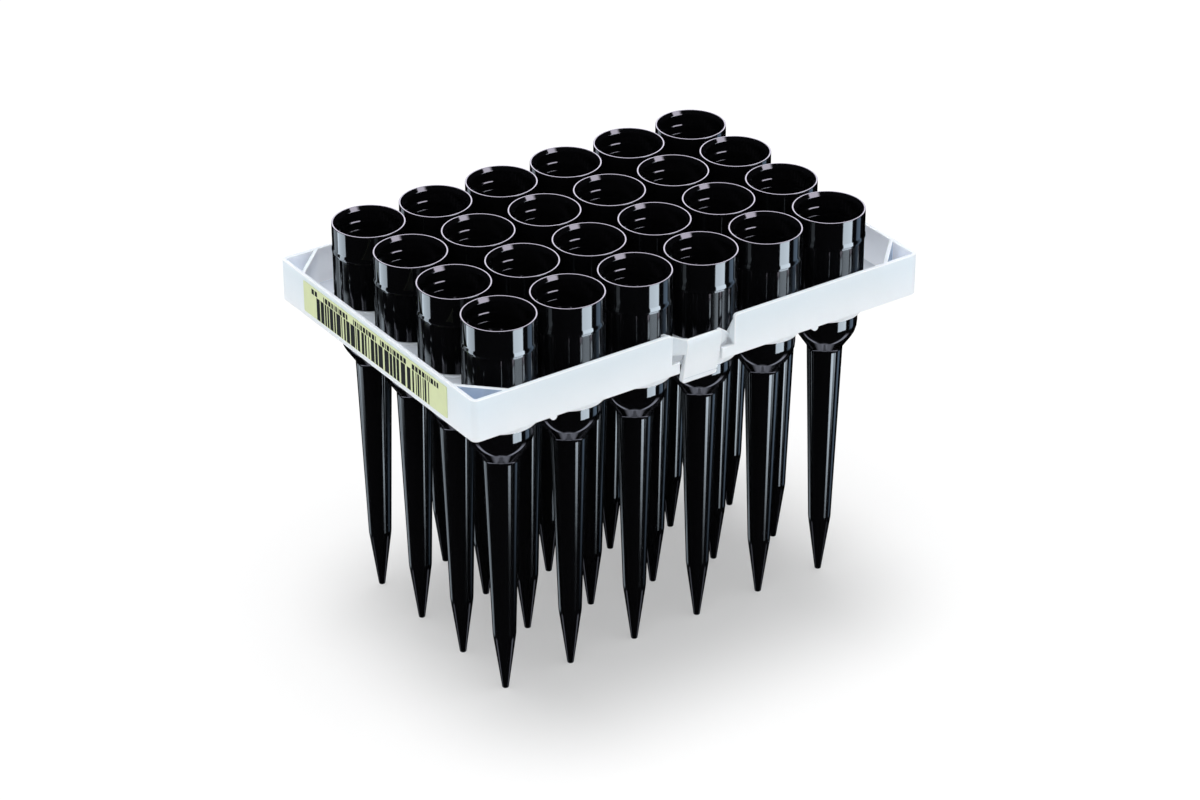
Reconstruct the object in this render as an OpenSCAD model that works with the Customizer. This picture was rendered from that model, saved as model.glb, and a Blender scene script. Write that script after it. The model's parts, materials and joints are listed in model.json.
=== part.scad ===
// Rack of large black pipette tips: a shallow moulded tray with a coded label on one end
// wall, holding a grid of hollow tips by their sleeves. Millimetres, +Z up. The origin is
// the middle of the grid, level with the open ends of the tips that the rack stands on.

/* [Grid] */
// Tips along the length, X
tips_x = 6; // [2:1:8]
// Tips along the width, Y
tips_y = 4; // [2:1:6]
// Distance between the axes of neighbouring tips
pitch = 18; // [17.9:0.1:24]

/* [Tip outside] */
// Whole length of a tip
tip_length = 97; // [92:1:120]
// Outer radius of the collar at the rim
collar_r = 8.6; // [8.55:0.05:8.75]
// Height of the collar
collar_h = 6.8; // [5:0.1:8]
// Outer radius of the sleeve under the collar
sleeve_r = 8.5; // [8.2:0.05:8.55]
// Height of the sleeve, whose lower end sits on the tray
sleeve_h = 12; // [10:0.5:14]
// Depth of the groove between collar and sleeve
groove_depth = 0.2; // [0.1:0.05:0.3]
// Height of the groove between collar and sleeve
groove_h = 0.4; // [0.2:0.1:0.8]
// Outer radius of the barrel that passes through the tray
barrel_r = 7.4; // [7.2:0.05:7.6]
// Height of the barrel below the sleeve
barrel_h = 9.9; // [8:0.1:12]
// Radius of the round turn from barrel to shoulder
shoulder_round_r = 6.5; // [4:0.5:7]
// Angle of the shoulder from the tip's axis, in degrees
shoulder_angle = 33.5; // [30:0.5:40]
// Outer radius at the neck, where the shoulder meets the shaft
neck_r = 4.2; // [3.8:0.1:4.6]
// Outer radius of the shaft where the point begins
shaft_end_r = 2.7; // [2.4:0.1:3.2]
// Height of the steeper point at the shaft's end
point_h = 14.7; // [10:0.1:18]
// Outer radius of the open end
end_r = 0.75; // [0.6:0.05:1]

/* [Tip inside] */
// Radius of the socket that grips a pipette's nozzle
socket_r = 7; // [6.8:0.05:7.1]
// Depth of the socket's straight part, down to its inner step
socket_h = 11.5; // [9:0.5:12.5]
// How much each ring step at the mouth widens the socket
ring_step = 0.2; // [0.16:0.02:0.24]
// Height of the land between the lead-in and the upper ring step
mouth_land_h = 2.7; // [2:0.05:3]
// Height of the land between the ring steps
ring_land_h = 2; // [1:0.1:2.2]
// Width of the flat land on the rim
rim_land = 0.45; // [0.4:0.05:0.6]
// Height of the lead-in cone below the rim
lead_in_h = 0.75; // [0.5:0.05:1]
// Wall thickness of the barrel, shoulder and shaft
tip_wall = 0.85; // [0.6:0.05:1]
// Radius of the hole in the open end
orifice_r = 0.4; // [0.3:0.05:0.5]

/* [Tray] */
// Distance from the last tip's axis to the end wall's face
end_margin = 15.65; // [14:0.05:20]
// Distance from the last tip's axis to the side wall's face
side_margin = 13.85; // [13.5:0.05:20]
// Height of the walls
wall_h = 10.25; // [8:0.05:14]
// Thickness of the walls
wall_t = 1; // [0.8:0.1:1.4]
// Radius of the tray's upright corners
corner_r = 1.5; // [1.2:0.1:2.5]
// Thickness of the deck
deck_t = 1.2; // [0.8:0.1:2]
// How far the walls reach below the deck's underside
skirt_h = 0.2; // [0.1:0.05:1]
// Clearance round a barrel in its hole
hole_clearance = 0.2; // [0.1:0.05:0.3]
// Width of the raised lip round each hole
lip_w = 1.3; // [1:0.05:1.34]
// Height of the raised lip round each hole
lip_h = 0.7; // [0.4:0.1:1.2]
// Wall thickness of the guide under each hole
guide_t = 0.8; // [0.6:0.05:1.2]
// Height of the guide below the deck
guide_h = 4.9; // [3:0.1:7]
// Distance from a corner to the ends of its diagonal web
web_leg = 9.9; // [8:0.1:11]
// Thickness of the diagonal webs
web_t = 0.9; // [0.6:0.1:1.2]

/* [Latch] */
// Width of the notch in each side wall
notch_w = 17; // [15:0.5:22]
// Height of the wall that is left under the notch
notch_sill = 2.8; // [2.2:0.1:3.4]
// Radius of the wall's top corners beside the notch
notch_round_r = 0.9; // [0.6:0.1:1.4]
// How far the wings beside the notch reach back
wing_reach = 3.3; // [3:0.05:3.5]
// Height of the low wing's back end above the wall's foot
wing_end_h = 4.5; // [4:0.1:6]
// How far the high wing's back end lies below the wall's top
wing_fall = 0.9; // [0.5:0.1:1.5]
// Width of the latch tab
tab_w = 9.4; // [8:0.1:10]
// Gap in the wall between the tab and the side with the low wing
low_gap = 0.5; // [0.4:0.1:2]
// Gap in the wall between the tab and the side with the high wing
high_gap = 1.7; // [0.4:0.1:2]
// Height of the tab's top above the wall's foot
tab_rise = 7.9; // [7:0.1:9]
// How far the tab hangs below the wall's foot
tab_drop = 3.9; // [3:0.1:5]
// Thickness of the tab at its top
tab_top_t = 0.6; // [0.5:0.05:0.9]
// Thickness of the tab's foot
tab_foot_t = 1.5; // [1.2:0.05:2]
// Height of the bevel along the tab's top
tab_bevel_h = 1.2; // [0.8:0.1:1.6]
// How far the tab's face stands out of the wall under the bevel
tab_proud = 0.5; // [0.2:0.1:0.7]
// How far the tab's face leans in from there to its foot
tab_lean = 2; // [1.5:0.1:2.3]
// Radius of the tab's lower corners
tab_round_r = 0.8; // [0.4:0.1:1.5]
// Height of the groove above the tab's foot
tab_groove_h = 1.4; // [1:0.1:2]
// Depth of the groove across the tab
tab_groove = 0.25; // [0.1:0.05:0.3]
// Thickness of the spring arms that carry the tab
arm_t = 0.7; // [0.5:0.1:1]
// Height of the high spring arm's underside above the wall's foot
arm_under_h = 4; // [3.4:0.1:4.4]
// Height of the low spring arm where it meets its wing
arm_end_h = 0.9; // [0.7:0.1:1.5]
// Width of the slot in the deck behind the notch
slot_w = 2.1; // [1.6:0.1:2.4]

/* [Pips] */
// Distance from the middle of the side wall to the pip on the left
pip_left = 40; // [30:0.5:45]
// Distance from the middle of the side wall to the pip on the right
pip_right = 31.3; // [20:0.1:45]
// Radius of a pip's round foot, below the wall's foot
pip_r = 0.85; // [0.5:0.05:1.5]

/* [Label] */
// Length of the label on the end wall
label_l = 60.6; // [40:0.1:61]
// Height of the label
label_h = 7.7; // [6:0.1:8]
// Thickness of the label
label_t = 0.15; // [0.1:0.05:0.3]
// Distance from the wall's foot up to the label
label_lift = 1.4; // [0.8:0.1:1.5]

/* [Hidden] */
$fn = 96;
row_names = "abcdef";
eps = 0.01;
arc_steps = 8;

// heights, from the open ends of the tips up
collar_z = tip_length - collar_h;
seat_z = collar_z - sleeve_h;
barrel_z = seat_z - barrel_h;
turn_r = barrel_r - shoulder_round_r * (1 - cos(shoulder_angle));
turn_z = barrel_z - shoulder_round_r * sin(shoulder_angle);
neck_z = turn_z - (turn_r - neck_r) / tan(shoulder_angle);
deck_top_z = seat_z - lip_h;
deck_z = deck_top_z - deck_t;
foot_z = deck_z - skirt_h;
wall_top_z = foot_z + wall_h;

// the tray's plan
hole_r = barrel_r + hole_clearance;
tray_l = (tips_x - 1) * pitch + 2 * end_margin;
tray_w = (tips_y - 1) * pitch + 2 * side_margin;
wall_x = tray_l / 2;
wall_y = tray_w / 2;

// the socket's steps
mouth_z = tip_length - lead_in_h;
upper_step_z = mouth_z - mouth_land_h;
lower_step_z = upper_step_z - ring_land_h;
socket_floor_z = lower_step_z - socket_h;
mouth_r = collar_r - rim_land;

function tip_x(col) = (col - (tips_x - 1) / 2) * pitch;
function tip_y(row) = (row - (tips_y - 1) / 2) * pitch;
function tip_name(col, row) = str("tip_", row_names[row], col + 1);

// points [radius, height] along a shoulder's round turn, from its foot up to the barrel
function turn(r) = [for (k = [arc_steps : -1 : 0])
    let (a = shoulder_angle * k / arc_steps)
    [barrel_r - shoulder_round_r + r * cos(a), barrel_z - r * sin(a)]];

function tip_outside() = concat(
    [[end_r, 0], [shaft_end_r, point_h], [neck_r, neck_z]],
    turn(shoulder_round_r),
    [[barrel_r, seat_z], [sleeve_r, seat_z], [sleeve_r, collar_z - groove_h],
     [sleeve_r - groove_depth, collar_z - groove_h], [sleeve_r - groove_depth, collar_z],
     [collar_r, collar_z], [collar_r, tip_length]]);

// the socket steps out twice on its way up to the lead-in, each time over a short cone
function tip_inside() =
    let (ring_r = socket_r + ring_step, land_r = ring_r + ring_step)
    concat(
    [[mouth_r, tip_length], [land_r, mouth_z],
     [land_r, upper_step_z + ring_step], [ring_r, upper_step_z],
     [ring_r, lower_step_z + ring_step], [socket_r, lower_step_z],
     [socket_r, socket_floor_z],
     [barrel_r - tip_wall, socket_floor_z - (socket_r - barrel_r + tip_wall)]],
    reversed(turn(shoulder_round_r - tip_wall)),
    [[neck_r - tip_wall, neck_z], [shaft_end_r - tip_wall, point_h], [orifice_r, 0]]);

function reversed(list) = [for (k = [len(list) - 1 : -1 : 0]) list[k]];

module tip(col, row) {
    color([0.03, 0.03, 0.035])
    translate([tip_x(col), tip_y(row), 0])
    rotate_extrude()
    polygon(concat(tip_outside(), tip_inside()));
}

module at_each_tip() {
    for (col = [0 : tips_x - 1], row = [0 : tips_y - 1])
        translate([tip_x(col), tip_y(row), 0]) children();
}

// a plate of the tray's plan, drawn in by inset, between two heights
module plan(inset, z_low, z_high) {
    r = corner_r - inset;
    x = wall_x - corner_r;
    y = wall_y - corner_r;
    translate([0, 0, z_low])
    linear_extrude(z_high - z_low) {
        square([2 * x, 2 * (y + r)], center = true);
        square([2 * (x + r), 2 * y], center = true);
        for (sx = [-1, 1], sy = [-1, 1])
            translate([sx * x, sy * y]) circle(r);
    }
}

module walls() {
    difference() {
        plan(0, foot_z, wall_top_z);
        plan(wall_t, foot_z - eps, wall_top_z + eps);
    }
}

// upright webs that cut the corners off, as high as the walls
module corner_webs() {
    reach = web_leg * sqrt(2);
    for (sx = [-1, 1], sy = [-1, 1])
        intersection() {
            translate([sx * (wall_x - web_leg / 2), sy * (wall_y - web_leg / 2), deck_z])
            rotate([0, 0, -45 * sx * sy])
            translate([-reach, -web_t / 2, 0])
            cube([2 * reach, web_t, wall_top_z - deck_z]);
            plan(wall_t / 2, deck_z, wall_top_z);
        }
}

// the deck with a raised lip on top of each hole and a guide below it
module deck() {
    difference() {
        union() {
            plan(wall_t / 2, deck_z, deck_top_z);
            at_each_tip() {
                translate([0, 0, deck_z]) cylinder(r = hole_r + lip_w, h = seat_z - deck_z);
                translate([0, 0, deck_z - guide_h])
                cylinder(r = hole_r + guide_t, h = guide_h + eps);
            }
        }
        at_each_tip()
            translate([0, 0, deck_z - guide_h - eps])
            cylinder(r = hole_r, h = guide_h + seat_z - deck_z + 2 * eps);
    }
}

// the notch's outline seen from outside, with the wall's top corners rounded off, and
// with a gap for the tab through the wall that is left below
module notch_outline() {
    top = wall_top_z + eps;
    bottom = foot_z + notch_sill;
    translate([-notch_w / 2, bottom]) square([notch_w, top - bottom]);
    translate([-tab_w / 2 - high_gap, foot_z - eps])
    square([high_gap + tab_w + low_gap, notch_sill + 2 * eps]);
    for (s = [-1, 1])
        difference() {
            translate([s * (notch_w + notch_round_r) / 2, top - notch_round_r / 2])
            square([notch_round_r, notch_round_r], center = true);
            translate([s * (notch_w / 2 + notch_round_r), wall_top_z - notch_round_r])
            circle(notch_round_r);
        }
}

// everything that a latch takes out of the front wall and the deck behind it
module latch_cut() {
    translate([0, -wall_y + wall_t, 0])
    rotate([90, 0, 0])
    linear_extrude(wall_t + eps) notch_outline();
    translate([-notch_w / 2, -wall_y + wall_t, foot_z - eps])
    cube([notch_w, slot_w, deck_top_z - foot_z + 2 * eps]);
}

// a wing runs back from the notch's edge and slopes down to its back end
module wing(end_z) {
    translate([notch_w / 2, -wall_y, deck_z])
    rotate([90, 0, 90])
    linear_extrude(wall_t)
    polygon([[notch_round_r / 2, 0], [wing_reach, 0], [wing_reach, end_z - deck_z],
             [notch_round_r / 2, wall_top_z - notch_round_r / 2 - deck_z]]);
}

// a spring arm runs from the tab's side back to the end of the wing
module spring_arm(end_z, under_z) {
    root_y = tab_top_t / 2;
    near_x = tab_w / 2;
    far_x = notch_w / 2 + wall_t / 2;
    intersection() {
        translate([0, -wall_y, foot_z])
        linear_extrude(wall_h)
        polygon([[near_x - tab_top_t, root_y], [near_x, root_y],
                 [far_x, wing_reach - arm_t], [far_x, wing_reach],
                 [near_x, root_y + arm_t], [near_x - tab_top_t, root_y + arm_t]]);
        translate([0, -wall_y + wing_reach, 0])
        rotate([90, 0, 0])
        linear_extrude(wing_reach)
        polygon([[near_x - tab_top_t, under_z], [far_x, under_z],
                 [far_x, end_z], [near_x, foot_z + tab_rise],
                 [near_x - tab_top_t, foot_z + tab_rise]]);
    }
}

// the tab's section across the wall: a bevel above, a leaning face with a groove, and a
// back that makes it thicker towards the foot
module tab_section() {
    top_z = foot_z + tab_rise;
    bevel_z = top_z - tab_bevel_h;
    low_z = foot_z - tab_drop;
    groove_z = low_z + tab_groove_h;
    function face(z) = (bevel_z - z) * tab_lean / (bevel_z - low_z) - tab_proud;
    polygon([[0, top_z], [-tab_proud, bevel_z], [face(groove_z), groove_z],
             [face(groove_z) + tab_groove, groove_z - tab_groove],
             [face(groove_z - 2 * tab_groove), groove_z - 2 * tab_groove],
             [face(low_z), low_z], [face(low_z) + tab_foot_t, low_z], [tab_top_t, top_z]]);
}

// the tab's outline seen from outside, with its lower corners rounded
module tab_outline() {
    low_z = foot_z - tab_drop;
    translate([-tab_w / 2, low_z + tab_round_r])
    square([tab_w, tab_rise + tab_drop - tab_round_r]);
    translate([-tab_w / 2 + tab_round_r, low_z])
    square([tab_w - 2 * tab_round_r, tab_round_r + eps]);
    for (s = [-1, 1])
        translate([s * (tab_w / 2 - tab_round_r), low_z + tab_round_r]) circle(tab_round_r);
}

module tab() {
    intersection() {
        translate([-tab_w / 2, -wall_y, 0])
        rotate([90, 0, 90])
        linear_extrude(tab_w) tab_section();
        translate([0, -wall_y + tab_lean - tab_proud + tab_foot_t + eps, 0])
        rotate([90, 0, 0])
        linear_extrude(tab_lean + tab_foot_t + 2 * eps) tab_outline();
    }
}

// a low wing and arm on one side of the tab, and a high pair on the other
module latch() {
    low_z = foot_z + wing_end_h;
    high_z = wall_top_z - wing_fall;
    tab();
    wing(low_z);
    spring_arm(low_z, low_z - arm_end_h);
    mirror([1, 0, 0]) {
        wing(high_z);
        spring_arm(high_z, foot_z + arm_under_h);
    }
}

// small round pips moulded under the side wall
module pips() {
    for (x = [-pip_left, pip_right])
        translate([x, -wall_y + wall_t, foot_z])
        rotate([90, 0, 0]) cylinder(r = pip_r, h = wall_t);
}

module tray() {
    color([0.86, 0.9, 0.95]) {
        difference() {
            union() {
                walls();
                deck();
            }
            for (turned = [0, 180])
                rotate([0, 0, turned]) latch_cut();
        }
        corner_webs();
        for (turned = [0, 180])
            rotate([0, 0, turned]) {
                latch();
                pips();
            }
    }
}

module label() {
    color([0.8, 0.85, 0.58])
    translate([-wall_x - label_t, -label_l / 2, foot_z + label_lift])
    cube([label_t, label_l, label_h]);
}

tray();
label();
for (col = [0 : tips_x - 1], row = [0 : tips_y - 1])
    tip(col, row);
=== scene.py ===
import json
import math
import random

import bmesh
import bpy
from bpy.props import (FloatProperty, FloatVectorProperty, IntProperty,
                       PointerProperty)
from mathutils import Matrix, Vector
from mathutils.bvhtree import BVHTree

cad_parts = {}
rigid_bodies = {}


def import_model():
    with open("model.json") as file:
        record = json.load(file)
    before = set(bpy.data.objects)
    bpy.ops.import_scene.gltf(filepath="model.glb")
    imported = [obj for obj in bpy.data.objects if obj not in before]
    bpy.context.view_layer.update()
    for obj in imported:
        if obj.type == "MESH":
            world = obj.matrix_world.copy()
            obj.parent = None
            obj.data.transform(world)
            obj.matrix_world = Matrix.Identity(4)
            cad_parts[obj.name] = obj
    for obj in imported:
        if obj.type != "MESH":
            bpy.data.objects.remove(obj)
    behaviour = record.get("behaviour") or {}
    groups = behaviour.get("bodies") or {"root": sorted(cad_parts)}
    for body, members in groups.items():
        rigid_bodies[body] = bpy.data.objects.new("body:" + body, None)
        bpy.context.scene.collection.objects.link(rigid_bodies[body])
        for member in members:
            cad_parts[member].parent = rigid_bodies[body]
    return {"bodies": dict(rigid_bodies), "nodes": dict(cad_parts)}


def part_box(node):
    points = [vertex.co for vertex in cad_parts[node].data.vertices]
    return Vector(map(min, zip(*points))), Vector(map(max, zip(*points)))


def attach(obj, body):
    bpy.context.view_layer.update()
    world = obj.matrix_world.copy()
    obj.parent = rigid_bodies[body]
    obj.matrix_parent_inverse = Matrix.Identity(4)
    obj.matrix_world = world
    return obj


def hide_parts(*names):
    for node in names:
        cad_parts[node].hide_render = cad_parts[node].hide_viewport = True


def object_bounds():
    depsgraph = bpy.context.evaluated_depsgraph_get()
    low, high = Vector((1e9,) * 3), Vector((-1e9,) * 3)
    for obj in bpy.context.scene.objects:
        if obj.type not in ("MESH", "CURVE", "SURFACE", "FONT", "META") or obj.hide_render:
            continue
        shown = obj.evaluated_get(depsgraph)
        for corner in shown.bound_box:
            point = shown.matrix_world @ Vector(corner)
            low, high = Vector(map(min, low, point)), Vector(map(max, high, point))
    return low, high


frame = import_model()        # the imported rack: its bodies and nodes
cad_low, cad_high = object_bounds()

bl_info = {
    "name": "Pipette Tip Rack",
    "version": (1, 0, 0),
    "blender": (4, 5, 0),
    "location": "3D View > Sidebar > Tip Rack",
    "description": "Dresses a rack of large black pipette tips in a frosted tray",
    "category": "Object",
}

MM = 0.001
TIP_PREFIX = "tip_"
TIP_NODES = sorted(name for name in frame["nodes"] if name.startswith(TIP_PREFIX))
BODY = next(iter(frame["bodies"]))


def metres(name, description, value, low=0.0):
    """A length property whose default is given in metres."""
    return FloatProperty(name=name, description=description, default=value, min=low,
                         unit="LENGTH", precision=5)


def millimetres(name, description, value):
    """A length property whose default is given in millimetres."""
    return metres(name, description, value * MM)


def degrees(name, description, value):
    """An angle property whose default is given in degrees."""
    return FloatProperty(name=name, description=description,
                         default=math.radians(value), unit="ROTATION")


def whole(name, description, value, low=0):
    """A whole-number property."""
    return IntProperty(name=name, description=description, default=value, min=low)


def level(name, description, value, low=0.0):
    """A plain number."""
    return FloatProperty(name=name, description=description, default=value, min=low)


def tone(name, description, value):
    """A colour property."""
    return FloatVectorProperty(name=name, description=description, default=value,
                               size=3, min=0.0, max=1.0, subtype="COLOR")


def triple(name, description, value):
    """A point or an extent along X, Y and Z."""
    return FloatVectorProperty(name=name, description=description, default=value,
                               size=3, subtype="TRANSLATION")


# ------------------------------ settings

class TipSizes(bpy.types.PropertyGroup):
    """Sizes of one turned tip, from the rim down"""

    collar_height: millimetres("Collar height", "Height of the collar", 6.8)
    collar_relief: millimetres("Collar relief", "How far the collar lies inside its flare", 0.14)
    flare_height: millimetres("Flare height", "Height of the flare at the collar's foot", 1.1)
    flare_foot: millimetres("Flare foot", "Height of the collar's widest part", 0.3)
    groove_height: millimetres("Groove height", "Height of the groove under the collar", 0.4)
    groove_radius: millimetres("Groove radius", "Radius at the bottom of the groove", 8.3)
    sleeve_height: millimetres("Sleeve height", "Height of the sleeve that sits on the tray", 12.0)
    sleeve_radius: millimetres("Sleeve radius", "Outer radius of the sleeve", 8.37)
    barrel_height: millimetres("Barrel height", "Straight height of the barrel", 9.9)
    barrel_radius: millimetres("Barrel radius", "Outer radius of the barrel", 7.4)
    shoulder_round: millimetres("Shoulder round", "Radius from barrel to shoulder", 6.5)
    shoulder_angle: degrees("Shoulder angle", "Angle of the shoulder from the axis", 33.5)
    neck_radius: millimetres("Neck radius", "Radius where shoulder meets shaft", 4.2)
    neck_round: millimetres("Neck round", "Radius of the blend at the neck", 1.5)
    shaft_end_radius: millimetres("Shaft end radius", "Radius where the point begins", 2.7)
    point_height: millimetres("Point height", "Height of the steeper point", 14.7)
    point_round: millimetres("Point round", "Radius of the blend above the point", 12.0)
    end_radius: millimetres("End radius", "Outer radius of the open end", 0.75)
    orifice_radius: millimetres("Orifice radius", "Radius of the hole in the open end", 0.4)
    wall: millimetres("Wall", "Wall thickness of barrel, shoulder and shaft", 0.85)
    rim_land: millimetres("Rim land", "Width of the flat rim", 0.35)
    lead_in: millimetres("Lead-in", "Height of the cone inside the rim", 0.79)
    mouth_land: millimetres("Mouth land", "Height between lead-in and upper ring step", 2.7)
    ring_land: millimetres("Ring land", "Height between the ring steps", 2.0)
    upper_step: millimetres("Upper step", "How much the upper ring step widens the socket", 0.2)
    lower_step: millimetres("Lower step", "How much the lower ring step widens the socket", 0.06)
    socket_radius: millimetres("Socket radius", "Radius of the socket", 7.0)
    socket_height: millimetres("Socket height", "Depth of the socket's straight part", 11.5)
    edge_round: millimetres("Edge round", "Radius of the moulded edges", 0.08)
    rib_radius: millimetres("Rib radius", "Radius of a rib on the sleeve", 1.3)
    rib_proud: millimetres("Rib proud", "How far a rib stands out of the sleeve", 0.11)
    rib_count: whole("Ribs", "Upright ribs round the sleeve", 18, 3)
    segments: whole("Segments", "Faces round a tip", 80, 24)
    seed: whole("Seed", "Seed of the turn of each tip", 7)


class TraySizes(bpy.types.PropertyGroup):
    """Sizes of the tray's moulded edges and of where its painted shade near the rim begins"""

    edge_width: millimetres("Edge width", "Width of the rounded edges", 0.17)
    edge_angle: degrees("Edge angle", "Smallest turn that counts as an edge", 40.0)
    edge_steps: whole("Edge steps", "Faces across a rounded edge", 2, 1)
    edge_room: level("Edge room", "Least width of the faces beside an edge, in edge widths", 2.2)
    shade_foot: millimetres("Tone foot", "Height above the foot where the upper tone starts", 4.0)


class LabelSizes(bpy.types.PropertyGroup):
    """Sizes of the label and its printed bars"""

    print_thickness: millimetres("Print", "Thickness of the printed ink", 0.012)
    corner_round: millimetres("Corner round", "Radius of the label's corners", 0.25)
    bars_length: millimetres("Bars length", "Length that the bars cover", 48.4)
    bars_height: millimetres("Bars height", "Height of the bars", 5.5)
    bars_middle: millimetres("Bars middle", "Shift of the bars along the label", 1.1)
    bars_lift: millimetres("Bars lift", "Height of the bars above the label's foot", 0.12)
    bar_count: whole("Bars", "Number of bars", 32, 4)
    marks_length: millimetres("Marks length", "Length that the small marks cover", 54.0)
    marks_height: millimetres("Marks height", "Height of the small marks", 1.3)
    marks_lift: millimetres("Marks lift", "Height of the marks above the label's foot", 5.85)
    mark_count: whole("Marks", "Number of small marks", 50, 4)
    seed: whole("Seed", "Seed of the bars' widths", 11)


class Finishes(bpy.types.PropertyGroup):
    """Colours of the rack's finishes; those of the tray also carry painted shade and light"""

    black_plastic: tone("Black plastic", "Colour of the tips", (0.0025, 0.0025, 0.003))
    # painted shade: the upper colour is darker, for the black tips behind the walls
    tray_shaded_upper: tone("Tray, upper", "Colour of the tray near its rim", (0.77, 0.855, 0.915))
    tray_lower: tone("Tray, lower", "Colour of the tray near its foot", (0.9, 0.95, 1.0))
    # painted highlight on the rounded edges and painted light on the walls' inner sides
    tray_painted_light: tone("Tray, edges", "Colour of the rounded edges and the walls' inner sides",
                    (0.92, 0.96, 1.0))
    # painted shade in the fine grooves
    tray_groove_shade: tone("Tray, grooves", "Colour in the tray's fine grooves", (0.5, 0.6, 0.68))
    # painted shade: the deck darker, for the shade among the tips
    tray_deck_shade: tone("Tray, deck", "Colour of the deck that the tips stand on", (0.76, 0.81, 0.87))
    # painted shade on the thin webs across the corners
    tray_web_shade: tone("Tray, webs", "Colour of the thin webs across the corners", (0.38, 0.46, 0.58))
    # painted glow: light that the walls' inner sides give off, though they are no lamp
    tray_painted_glow: tone("Tray, shine", "Light let through by the walls", (0.075, 0.09, 0.125))
    paper: tone("Label", "Colour of the label", (0.73, 0.79, 0.47))
    ink: tone("Ink", "Colour of the printed bars", (0.004, 0.004, 0.004))


class StageSettings(bpy.types.PropertyGroup):
    """Floor, lights and camera"""

    floor_size: metres("Floor size", "Width of the floor", 6.0, 1.0)
    floor_colour: tone("Floor", "Colour of the floor", (0.81, 0.8, 0.79))
    # painted shadow on the floor: the camera sees less light added in a patch under the rack
    shadow_lift: level("Shadow lift", "Light that the camera sees added under the rack", 0.334)
    floor_lift: level("Floor lift", "Light that the camera sees added far from it", 0.61)
    painted_shadow_middle: triple("Lift middle", "Middle of the dim patch", (-0.001, -0.0105, 0.0))
    painted_shadow_half: triple("Lift half", "Half size of the dim patch", (0.0317, 0.0214, 0.0))
    painted_shadow_reach: metres("Lift reach", "From the patch to the full lift", 0.046, 0.01)
    floor_seen: level("Floor seen", "Share of the floor's own colour that is seen", 0.5)
    ambient: level("Ambient", "Level of the soft light from all round", 0.885)
    lamp_power: level("Lamp power", "Power of the lamp overhead, in watts", 3.6)
    lamp_size: metres("Lamp size", "Width of the lamp overhead", 0.9, 0.1)
    lamp_height: metres("Lamp height", "Height of the lamp", 1.1, 0.2)
    azimuth: degrees("Azimuth", "Direction that the camera looks from", -34.405)
    elevation: degrees("Elevation", "Height of the camera above the horizon", 29.51)
    roll: degrees("Roll", "Turn of the camera about its view", -0.192)
    distance: metres("Distance", "From the camera to its aim", 0.7574, 0.1)
    lens: level("Lens", "Focal length in millimetres", 109.71, 10.0)
    aim: triple("Aim", "Point that the camera looks at", (-0.04853, -0.07086, 0.097))


# ------------------------------ node helpers

def add_node(tree, kind, values=None, **settings):
    """Adds a node; settings are its own options, values its input sockets by name or number."""
    node = tree.nodes.new(kind)
    for name, value in settings.items():
        setattr(node, name, value)
    for name, value in (values or {}).items():
        node.inputs[name].default_value = value
    return node


def wire(tree, *pairs):
    """Links (output socket, input socket) pairs."""
    for output, target in pairs:
        tree.links.new(output, target)


def maths(tree, operation, *inputs):
    """A Math node; each input is a number or a socket. Returns its output."""
    node = add_node(tree, "ShaderNodeMath", operation=operation)
    for number, value in enumerate(inputs):
        if isinstance(value, bpy.types.NodeSocket):
            wire(tree, (value, node.inputs[number]))
        else:
            node.inputs[number].default_value = value
    return node.outputs[0]


def new_group(name, kind, inputs, outputs):
    """A node group with named sockets, each given as (name, type, default)."""
    tree = bpy.data.node_groups.new(name, kind)
    for in_out, sockets in (("INPUT", inputs), ("OUTPUT", outputs)):
        for label, socket_type, default in sockets:
            socket = tree.interface.new_socket(name=label, in_out=in_out,
                                               socket_type=socket_type)
            if default is not None:
                socket.default_value = default
    start = add_node(tree, "NodeGroupInput")
    end = add_node(tree, "NodeGroupOutput")
    return tree, start.outputs, end.inputs


def use_group(tree, group, values=None):
    """Places a shader node group in a material with its own values."""
    return add_node(tree, "ShaderNodeGroup", values, node_tree=group)


def run_tree(mesh, tree, values, name):
    """Runs a Geometry Nodes tree on a mesh and returns the result as a plain object."""
    piece = bpy.data.objects.new(name, mesh)
    bpy.context.scene.collection.objects.link(piece)
    modifier = piece.modifiers.new("Build", "NODES")
    modifier.node_group = tree
    identifiers = {item.name: item.identifier for item in tree.interface.items_tree
                   if item.in_out == "INPUT"}
    for label, value in values.items():
        modifier[identifiers[label]] = value
    depsgraph = bpy.context.evaluated_depsgraph_get()
    built = bpy.data.meshes.new_from_object(piece.evaluated_get(depsgraph))
    piece.modifiers.remove(modifier)
    piece.data = built
    built.name = name
    return piece


# ------------------------------ shared effects

FLOAT = "NodeSocketFloat"
INT = "NodeSocketInt"
VECTOR = "NodeSocketVector"
GEOMETRY = "NodeSocketGeometry"
MATERIAL = "NodeSocketMaterial"


def height_mask_group():
    """0 below Low and 1 above High along the object's own Z, smooth in between."""
    tree, start, end = new_group(
        "Height mask", "ShaderNodeTree",
        [("Low", FLOAT, 0.0), ("High", FLOAT, 1.0)], [("Mask", FLOAT, None)])
    place = add_node(tree, "ShaderNodeTexCoord")
    split = add_node(tree, "ShaderNodeSeparateXYZ")
    ramp = add_node(tree, "ShaderNodeMapRange", interpolation_type="SMOOTHSTEP")
    wire(tree, (place.outputs["Object"], split.inputs[0]),
         (split.outputs["Z"], ramp.inputs["Value"]),
         (start["Low"], ramp.inputs["From Min"]),
         (start["High"], ramp.inputs["From Max"]),
         (ramp.outputs["Result"], end["Mask"]))
    return tree


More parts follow.
